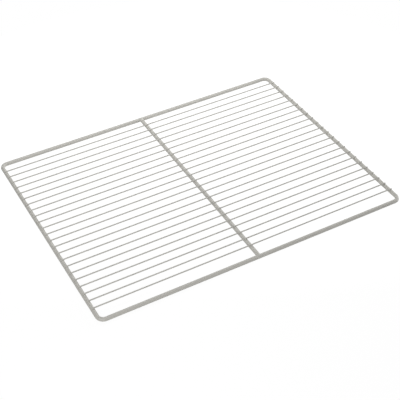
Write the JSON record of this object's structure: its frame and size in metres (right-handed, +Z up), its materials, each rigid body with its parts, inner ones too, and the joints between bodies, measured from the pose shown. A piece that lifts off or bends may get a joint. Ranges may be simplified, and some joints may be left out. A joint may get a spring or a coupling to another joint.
{
  "type": "freezer wire shelf",
  "caption": "Flat rectangular wire shelf: a frame of bent round rod, a bar from front to back at mid-width and a deck of thin parallel wires, all in light grey.",
  "frame": {"origin": "middle of the shelf, in the plane that the frame's rod rests on", "axes": "+X along the deck wires, +Y from front to back, +Z up"},
  "size_m": [0.65, 0.5, 0.0102],
  "materials": {
    "grey_coating": "satin light warm grey coating on steel wire"
  },
  "bodies": {
    "root": {"perimeter_frame": "grey_coating", "centre_bar": "grey_coating", "shelf_wire_01": "grey_coating", "shelf_wire_02": "grey_coating", "shelf_wire_03": "grey_coating", "shelf_wire_04": "grey_coating", "shelf_wire_05": "grey_coating", "shelf_wire_06": "grey_coating", "shelf_wire_07": "grey_coating", "shelf_wire_08": "grey_coating", "shelf_wire_09": "grey_coating", "shelf_wire_10": "grey_coating", "shelf_wire_11": "grey_coating", "shelf_wire_12": "grey_coating", "shelf_wire_13": "grey_coating", "shelf_wire_14": "grey_coating", "shelf_wire_15": "grey_coating", "shelf_wire_16": "grey_coating", "shelf_wire_17": "grey_coating", "shelf_wire_18": "grey_coating", "shelf_wire_19": "grey_coating", "shelf_wire_20": "grey_coating", "shelf_wire_21": "grey_coating", "shelf_wire_22": "grey_coating", "shelf_wire_23": "grey_coating"}
  },
  "joints": []
}
